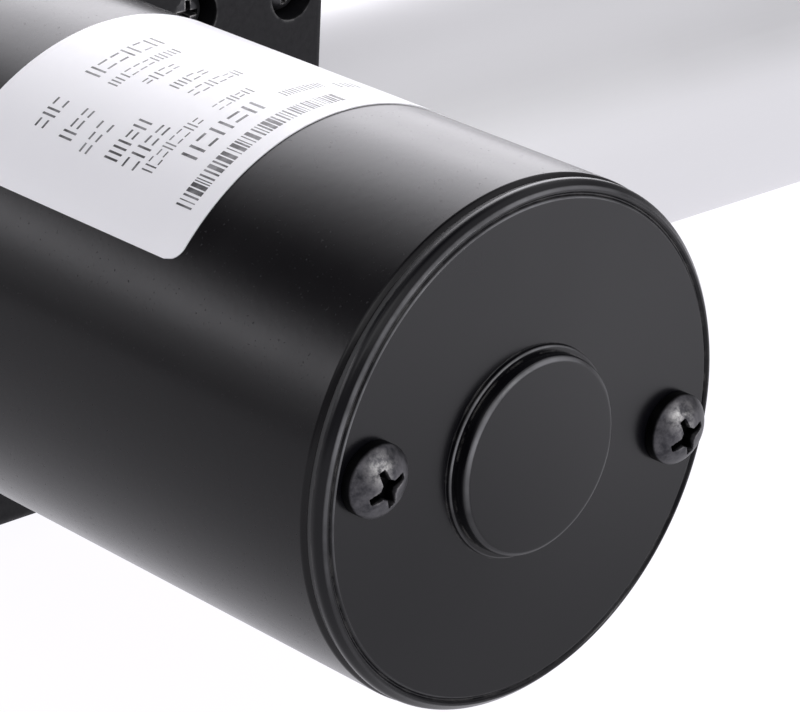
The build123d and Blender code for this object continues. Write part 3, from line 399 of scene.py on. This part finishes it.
def label_stock():
    """Coated white label film, faintly mottled"""
    s = Shader("label_film", (0.84, 0.84, 0.87), roughness=0.38)
    broad = s.noise(55, 4, 0.6)
    fibre = s.noise(1500, 3, 0.6)
    s.link(s.mix(broad, (0.83, 0.83, 0.855), (0.90, 0.90, 0.92)), "Base Color")
    s.link(s.ramp(fibre, 0.3, 0.7, 0.33, 0.46), "Roughness")
    s.link(s.bump(s.maths("ADD", fibre, s.maths("MULTIPLY", broad, 2.0)), 0.08, 0.00005), "Normal")
    return s.material


def label_ink():
    """Black thermal print, a little worn and grey in places"""
    s = Shader("label_ink", (0.02, 0.02, 0.022), roughness=0.45)
    fade = s.ramp(s.noise(330, 4, 0.65), 0.42, 0.66)
    s.link(s.mix(fade, (0.018, 0.018, 0.02), (0.22, 0.22, 0.23)), "Base Color")
    s.link(s.ramp(s.noise(1500, 2), 0.3, 0.7, 0.38, 0.5), "Roughness")
    s.link(s.bump(s.noise(2100, 2), 0.08, 0.00003), "Normal")
    return s.material


paint = black_paint()
cap = cap_paint()
casting = cast_black()
oxide = black_oxide()
steel = machined("machined_steel", (0.56, 0.56, 0.57))
ground = machined("ground_steel", (0.68, 0.68, 0.70), 0.2)
tube_finish = drawn_aluminium("anodised_tube", (0.70, 0.70, 0.71), 0.44, 0.05, 0.6)
rod_finish = drawn_aluminium("polished_rod", (0.80, 0.80, 0.82), 0.22, 0.10, 1.0)
apply(casting, "gear_case_front", "gear_case_rear", "front_cap")
apply(oxide, "case_screws", "front_cap_screws", "tube_screws", "rear_clevis_screws")
apply(machined("bare_aluminium", (0.72, 0.72, 0.74), 0.4), "tube_socket", "motor_front_plate")
apply(steel, "rear_clevis", "front_clevis", "clevis_roll_pin", "nut_pins", "lead_screw", "lock_nut",
      "wheel_key", "armature_shaft", "worm", "brush_springs")
apply(ground, "screw_bearing_outer_rings", "screw_bearing_inner_rings", "screw_bearing_balls",
      "motor_bearing_outer_rings", "motor_bearing_inner_rings", "motor_bearing_balls")
apply(machined("bronze", (0.66, 0.43, 0.19), 0.35), "worm_wheel", "rear_bush", "drive_nut")
apply(machined("copper", (0.72, 0.33, 0.17), 0.35), "windings", "commutator_bars")
apply(machined("silicon_steel", (0.30, 0.30, 0.32), 0.5), "laminations")
apply(machined("ferrite", (0.06, 0.06, 0.065), 0.6, 0.0), "magnets")
apply(machined("graphite", (0.05, 0.05, 0.052), 0.55, 0.0), "brushes")
apply(moulded("black_plastic", (0.02, 0.02, 0.021)), "gland_body", "gland_nut", "brush_plate",
      "commutator_core", "limit_switches")
apply(moulded("white_plastic", (0.80, 0.80, 0.76)), "front_guide", "screw_end_guide", "terminal_block")
apply(moulded("red_plastic", (0.50, 0.03, 0.025)), "retract_plunger", "extend_plunger")
apply(moulded("green_board", (0.02, 0.20, 0.07), 0.3), "switch_board")
apply(moulded("rubber", (0.012, 0.012, 0.013), 0.55), "end_cap_gasket", "case_gasket", "wiper_seal")


# ---------------------------------------------------------------- motor's end cap, can and bolts
def make_end_cap():
    """The turned end cap: raised boss on a low collar, pressed ring, bevelled rim, groove and spigot"""
    mesh = bmesh.new()
    outline = millimetres(
        (-2.2, 0), (-2.2, 11.3, 0.8), (-0.6, 11.3), (-0.6, 12.0, 0.35), (0, 12.0, 0.12),
        (0, 28.0), (0.1, 28.15), (0.3, 28.3), (0.3, 28.4), (0.1, 28.55), (0, 28.7),
        (0, 28.95, 0.12), (0.85, 29.8, 0.35), (1.5, 29.8, 0.08), (1.5, 29.0), (2.2, 29.0),
        (2.2, 27.5), (9, 27.5), (9, 24.5), (2.2, 24.5), (2.2, 10), (11, 10), (11, 6.5), (2, 6.5), (2, 0),
    )
    lathe(mesh, softened(outline), round_motor, 512)
    finish_piece("end_cap_shell", mesh, cap, "housing", ["motor_end_cap"])


def make_can():
    """The motor's can, with a small bevel at its front edge"""
    mesh = bmesh.new()
    back = (CAN_BACK - FACE_Y) / MM
    radius = CAN_RADIUS / MM
    front = ((2.2, 27.5), (2.2, radius - 0.5, 0.15), (2.7, radius, 0.2))
    outline = millimetres(*front, (back, radius), (back, 27.5))
    lathe(mesh, softened(outline), round_motor, 512)
    finish_piece("can_shell", mesh, paint, "housing", ["motor_can"])


def make_tubes():
    """The outer tube and the rod, as smooth drawn tubes with lightly broken ends"""
    mesh = bmesh.new()
    start, end = tube_low.x / MM, tube_high.x / MM
    radius = TUBE_RADIUS / MM
    outline = millimetres((start, 22.5), (start, radius), (end, radius, 0.3), (end, 22.5, 0.3))
    lathe(mesh, softened(outline), round_screw)
    finish_piece("outer_tube_shell", mesh, tube_finish, "housing", ["outer_tube"])
    mesh = bmesh.new()
    start, end = rod_low.x / MM, rod_high.x / MM
    radius = ROD_RADIUS / MM
    outline = millimetres((start, 10), (start, radius, 0.3), (end, radius, 0.3), (end, 10))
    lathe(mesh, softened(outline), round_screw)
    finish_piece("rod_shell", mesh, rod_finish, "rod", ["rod_tube"])


RECESS_TURN = 0.4
RECESS_DROP = 0.40 * MM  # the recess is this far below the head's middle
RECESS_SHIFT = (-RECESS_DROP * math.sin(RECESS_TURN), -RECESS_DROP * math.cos(RECESS_TURN))
HEAD_RADIUS, HEAD_WALL = 4.1 * MM, 1.1 * MM
RECESS_REACH, RECESS_DEPTH = 2.45 * MM, 1.5 * MM


def between(value, low, high):
    """0 below low, 1 above high, and smooth between them"""
    share = min(max((value - low) / (high - low), 0.0), 1.0)
    return share * share * (3 - 2 * share)


def recess(u, v):
    """Depth of the cross recess at a point of the head, as a share of its full depth"""
    deepest = 0.0
    for along, aside in ((abs(u), abs(v)), (abs(v), abs(u))):
        half_width = 0.68 * MM - 0.10 * along
        inside = between(half_width - aside, 0, 0.16 * MM) * between(RECESS_REACH - along, 0, 0.30 * MM)
        deepest = max(deepest, inside)
    corner = between(1.15 * MM - math.hypot(u, v), 0, 0.22 * MM)
    return max(deepest, corner)


def head_outline():
    """Rings of the pan head from its middle outwards, as (radius, height)"""
    dome = HEAD_HEIGHT - HEAD_WALL
    edge = 0.22 * MM
    rings = []
    count = 64
    for i in range(1, count + 1):
        radius = (HEAD_RADIUS - edge) * i / count
        rings.append((radius, HEAD_WALL + dome * (1 - (radius / HEAD_RADIUS) ** 2) ** 0.62))
    last_height = rings[-1][1]
    for share in (0.35, 0.7, 1.0):
        rings.append((HEAD_RADIUS - edge * (1 - share) ** 2, last_height - (last_height - HEAD_WALL) * share))
    rings.append((HEAD_RADIUS, 0.12 * MM))
    rings.append((HEAD_RADIUS - 0.12 * MM, 0.0))
    return rings


def make_bolts():
    """The two long pan-head bolts, each with a worn cross recess"""
    mesh = bmesh.new()
    segments = 144
    shank_end = bolts_high.y - FACE_Y
    for angle in BOLT_ANGLES:
        centre = (BOLT_CIRCLE * math.cos(angle), BOLT_CIRCLE * math.sin(angle))

        def point(radius, height, turn):
            u, v = radius * math.cos(turn), radius * math.sin(turn)
            height -= RECESS_DEPTH * recess(u - RECESS_SHIFT[0], v - RECESS_SHIFT[1])
            x = centre[0] + radius * math.cos(turn + RECESS_TURN)
            z = centre[1] + radius * math.sin(turn + RECESS_TURN)
            return Vector((AXIS_X + x, FACE_Y - height, AXIS_Z + z))

        outline = [(0.0, HEAD_HEIGHT), *head_outline()]
        rings = []
        for radius, height in outline:
            count = 1 if radius == 0 else segments
            turns = [2 * math.pi * k / segments for k in range(count)]
            rings.append([mesh.verts.new(point(radius, height, turn)) for turn in turns])
        shank = 2.5 * MM
        for radius, height in ((shank, 0.0), (shank, -shank_end)):
            ring = []
            for k in range(segments):
                turn = 2 * math.pi * k / segments + RECESS_TURN
                x, z = centre[0] + radius * math.cos(turn), centre[1] + radius * math.sin(turn)
                ring.append(mesh.verts.new(Vector((AXIS_X + x, FACE_Y - height, AXIS_Z + z))))
            rings.append(ring)
        for ring, following in zip(rings, rings[1:]):
            for k in range(segments):
                corners = [ring[k % len(ring)], ring[(k + 1) % len(ring)],
                           following[(k + 1) % segments], following[k]]
                mesh.faces.new(list(dict.fromkeys(corners)))
        mesh.faces.new(rings[-1])
    finish_piece("bolts_worn", mesh, worn_screw_and_painted_light(), "housing", ["motor_bolts"])


# ---------------------------------------------------------------- rating label and its print
LABEL_THICKNESS = 0.15 * MM
LABEL_CORNER = 2.0 * MM
LABEL_START = label_low.y - FACE_Y
LABEL_END = label_high.y - FACE_Y
LABEL_LOW, LABEL_HIGH = math.radians(143.5), math.radians(27)


def curved_patch(mesh, start, end, first, last, inner, outer, corner=0.0):
    """A thin patch that follows the can: from start to end along it, and from angle first to last"""
    length = abs(first - last) * outer
    columns = max(2, round(length / (0.35 * MM)))
    sheets = []
    for radius in (outer, inner):
        sheet = []
        for i in range(columns + 1):
            angle = first + (last - first) * i / columns
            edge = min(i, columns - i) / columns * length
            inset = 0.0
            if edge < corner:
                inset = corner - math.sqrt(corner ** 2 - (corner - edge) ** 2)
            sides = (start + inset, end - inset)
            sheet.append([mesh.verts.new(round_motor(along, radius, angle)) for along in sides])
        sheets.append(sheet)
    top, bottom = sheets
    for i in range(columns):
        mesh.faces.new((top[i][0], top[i + 1][0], top[i + 1][1], top[i][1]))
        mesh.faces.new((bottom[i][1], bottom[i + 1][1], bottom[i + 1][0], bottom[i][0]))
        for side in (0, 1):
            mesh.faces.new((top[i][side], top[i + 1][side], bottom[i + 1][side], bottom[i][side]))
    for i in (0, columns):
        mesh.faces.new((top[i][0], top[i][1], bottom[i][1], bottom[i][0]))


def make_label(material):
    mesh = bmesh.new()
    skin = CAN_RADIUS + LABEL_THICKNESS
    inner = CAN_RADIUS + 0.01 * MM
    curved_patch(mesh, LABEL_START, LABEL_END, LABEL_LOW, LABEL_HIGH, inner, skin, LABEL_CORNER)
    finish_piece("label_sheet", mesh, material, "housing", ["rating_label"])


# rows of the print: middle and height in mm along the motor, first and last angle, and size of a mark
PRINT_ROWS = (
    (59.2, 2.5, 111.5, 95, 1.7),
    (55.4, 1.6, 112, 94, 1.25),
    (52.2, 1.6, 108, 99, 1.25),
    (48.5, 1.6, 106, 97, 1.25),
    (45.6, 1.6, 106, 94, 1.25),
    (59.0, 2.1, 128.5, 120, 1.7),
    (54.4, 2.1, 128.7, 120, 1.7),
    (50.7, 2.1, 130, 121, 1.7),
    (46.5, 2.1, 129, 119, 1.7),
    (43.5, 2.1, 129.3, 117, 1.7),
    (40.8, 1.7, 128.2, 111, 1.1),
    (40.8, 1.5, 107.2, 98, 1.1),
    (37.3, 2.4, 121.6, 102.5, 2.2),
    (37.3, 1.5, 94.5, 83, 1.0),
    (36.8, 1.8, 80, 74, 1.7),
)
BARCODE = (31.7, 34.1, 132.2, 87)
INK_HEIGHT = 0.012 * MM


def make_print(material):
    """Generic print: rows of marks, each two plain strokes, in place of words, and a strip of plain bars"""
    mesh = bmesh.new()
    draw = random.Random(11)
    low = CAN_RADIUS + LABEL_THICKNESS
    per_mm = MM / low  # angle of one mm around the label

    def stroke(start, end, angle, width):
        last = angle - width * per_mm
        curved_patch(mesh, start * MM, end * MM, angle, last, low, low + INK_HEIGHT)
        return last

    for middle, height, first, last, mark in PRINT_ROWS:
        angle, last = math.radians(first), math.radians(last)
        line = 0.17 * mark
        low_edge, high_edge = middle - height / 2, middle + height / 2
        while angle > last:
            width = mark * draw.uniform(0.62, 0.80)
            if draw.random() < 0.5:
                inset = draw.uniform(0, 0.2) * height
                stroke(low_edge + inset, low_edge + inset + line, angle, width)
                stroke(high_edge - inset - line, high_edge - inset, angle, width)
            else:
                stroke(low_edge, high_edge, angle, line)
                stroke(low_edge, high_edge, angle - (width - line) * per_mm, line)
            angle -= (width + 0.3 * mark) * per_mm
    near, far, first, last = BARCODE
    angle, last = math.radians(first), math.radians(last)
    while angle > last:
        angle = stroke(near, far, angle, draw.choice((0.13, 0.13, 0.25, 0.25, 0.55)))
        angle -= draw.choice((0.2, 0.3, 0.45)) * per_mm
    finish_piece("label_print", mesh, material, "housing", [])


make_end_cap()
make_can()
make_tubes()
make_bolts()
make_label(label_stock())
make_print(label_ink())

# ---------------------------------------------------------------- camera
CAMERA_ANCHOR = Vector((AXIS_X, FACE_Y + 1.5 * MM, AXIS_Z))  # just inside the end cap
CAMERA_OFFSET = Vector((-9.184, -8.583, 5.601)) * CAN_RADIUS
CAMERA_AZIMUTH, CAMERA_DROP, CAMERA_ROLL = (math.radians(a) for a in (44.99, 22.78, 2.77))
CAMERA_LENS = 174.6


def make_camera():
    """A long-lens camera in front of the motor's end, tilted a little about its own line of sight"""
    ahead = Vector((math.sin(CAMERA_AZIMUTH) * math.cos(CAMERA_DROP),
                    math.cos(CAMERA_AZIMUTH) * math.cos(CAMERA_DROP), -math.sin(CAMERA_DROP)))
    level = ahead.cross(Vector((0, 0, 1))).normalized()
    above = level.cross(ahead)
    right = math.cos(CAMERA_ROLL) * level + math.sin(CAMERA_ROLL) * above
    up = -math.sin(CAMERA_ROLL) * level + math.cos(CAMERA_ROLL) * above
    camera = bpy.data.objects.new("camera", bpy.data.cameras.new("camera"))
    bpy.context.scene.collection.objects.link(camera)
    camera.data.lens = CAMERA_LENS
    camera.data.clip_start = 0.01
    turn = Matrix((right, up, -ahead)).transposed().to_4x4()
    camera.matrix_world = Matrix.Translation(CAMERA_ANCHOR + CAMERA_OFFSET) @ turn
    bpy.context.scene.camera = camera


make_camera()


# ---------------------------------------------------------------- floor and light
def make_floor():
    """A wide pale floor, lit from within so that it stays even, with a painted pool of light before the end
    cap, that the tube and the case stand on
    """
    size = 6.0
    mesh = bpy.data.meshes.new("floor")
    low = cad_low.z - 0.2 * MM
    corners = [(x * size, y * size, low) for x, y in ((-1, -1), (1, -1), (1, 1), (-1, 1))]
    mesh.from_pydata(corners, [], [(0, 1, 2, 3)])
    floor = bpy.data.objects.new("floor", mesh)
    bpy.context.scene.collection.objects.link(floor)
    s = Shader("pale_floor_and_light_pool", (0.12, 0.12, 0.12), roughness=0.9)
    s.link(s.mix(s.noise(3, 3), (0.11, 0.11, 0.11), (0.13, 0.13, 0.13)), "Base Color")
    s.principled.inputs["Specular IOR Level"].default_value = 0.0
    painted_pool_centre = (AXIS_X + 170 * MM, FACE_Y - 180 * MM, low)  # a painted pool of light on the floor before the end cap, where the floor glows brighter
    distance = s.vector_maths("DISTANCE", s.place, painted_pool_centre, "Value")
    even_glow_and_painted_pool = s.ramp(distance, 0.04, 0.18, 2.3, 0.97)
    s.link(even_glow_and_painted_pool, "Emission Strength")
    s.principled.inputs["Emission Color"].default_value = (1.0, 0.985, 1.045, 1)
    mesh.materials.append(s.material)


def area_light(name, place, aim, width, height, power):
    data = bpy.data.lights.new(name, "AREA")
    data.shape = "RECTANGLE"
    data.size, data.size_y = width, height
    data.energy = power
    light = bpy.data.objects.new(name, data)
    light.location = place
    light.rotation_euler = (Vector(aim) - Vector(place)).to_track_quat("-Z", "Y").to_euler()
    bpy.context.scene.collection.objects.link(light)


# brightness of the surround by height (the sine of the elevation), in its three parts
SKY_LEFT = ((0.0, 0.5), (0.20, 1.2), (0.37, 4.9), (0.46, 1.8), (0.56, 0.03), (1.0, 0.03))
SKY_RIGHT = ((0.0, 2.6), (0.25, 4.0), (0.42, 6.3), (0.66, 5.6), (0.80, 2.0), (0.9, 0.3), (1.0, 0.03))
SKY_FRONT = ((0.0, 0.42), (0.35, 0.36), (0.7, 1.35), (0.9, 0.5), (1.0, 0.03))
SKY_FAR = ((0.0, 0.6), (0.4, 0.9), (1.0, 0.03))
SKY_PEAK = 6.5
SKY_TINT = (1.0, 0.985, 1.035)
MATT_SHARE = 0.6  # matt surfaces see this share of the surround's brightness


def make_sky():
    """A studio surround: softboxes behind on the left and right, a dim front, and a dim wall straight behind"""
    world = bpy.data.worlds.new("studio")
    bpy.context.scene.world = world
    world.use_nodes = True
    tree = world.node_tree
    background = tree.nodes["Background"]
    place = tree.nodes.new("ShaderNodeTexCoord")
    parts = tree.nodes.new("ShaderNodeSeparateXYZ")
    tree.links.new(place.outputs["Generated"], parts.inputs[0])

    def by_height(brightness):
        ramp = tree.nodes.new("ShaderNodeValToRGB")
        ramp.color_ramp.interpolation = "EASE"
        stops = ramp.color_ramp.elements
        stops.remove(stops[-1])
        for i, (height, value) in enumerate(brightness):
            stop = stops[0] if i == 0 else stops.new(height)
            stop.position = height
            stop.color = (*(value / SKY_PEAK * part for part in SKY_TINT), 1)
        tree.links.new(parts.outputs["Z"], ramp.inputs["Fac"])
        return ramp.outputs["Color"]

    def joined(axis, first, second, low, high):
        """first below low on an axis and second above high, blended between"""
        share = tree.nodes.new("ShaderNodeMapRange")
        share.interpolation_type = "SMOOTHSTEP"
        share.inputs["From Min"].default_value = low
        share.inputs["From Max"].default_value = high
        tree.links.new(parts.outputs[axis], share.inputs["Value"])
        mixed = tree.nodes.new("ShaderNodeMix")
        mixed.data_type = "RGBA"
        for index, output in ((0, share.outputs["Result"]), (6, first), (7, second)):
            tree.links.new(output, mixed.inputs[index])
        return mixed.outputs[2]

    behind = joined("X", by_height(SKY_LEFT), by_height(SKY_RIGHT), -0.30, 0.30)
    softboxes = joined("Y", by_height(SKY_FRONT), behind, 0.35, 0.6)
    tree.links.new(joined("Y", softboxes, by_height(SKY_FAR), 0.76, 0.92), background.inputs["Color"])
    path = tree.nodes.new("ShaderNodeLightPath")
    strength = tree.nodes.new("ShaderNodeMapRange")
    strength.inputs["To Min"].default_value = SKY_PEAK
    strength.inputs["To Max"].default_value = SKY_PEAK * MATT_SHARE
    tree.links.new(path.outputs["Is Diffuse Ray"], strength.inputs["Value"])
    tree.links.new(strength.outputs["Result"], background.inputs["Strength"])


make_floor()
make_sky()
CAP_MIDDLE = (0.056, -0.11, 0.0235)
area_light("fill_softbox", (-0.55, -0.6, 0.75), (0.05, -0.08, 0), 0.7, 0.5, 1.5)
area_light("front_softbox", (0.54, -1.08, 0.20), CAP_MIDDLE, 0.22, 0.16, 1.4)
area_light("high_softbox", (0.23, -1.14, 0.50), CAP_MIDDLE, 0.30, 0.26, 3.0)
bpy.context.scene.view_settings.view_transform = "Standard"
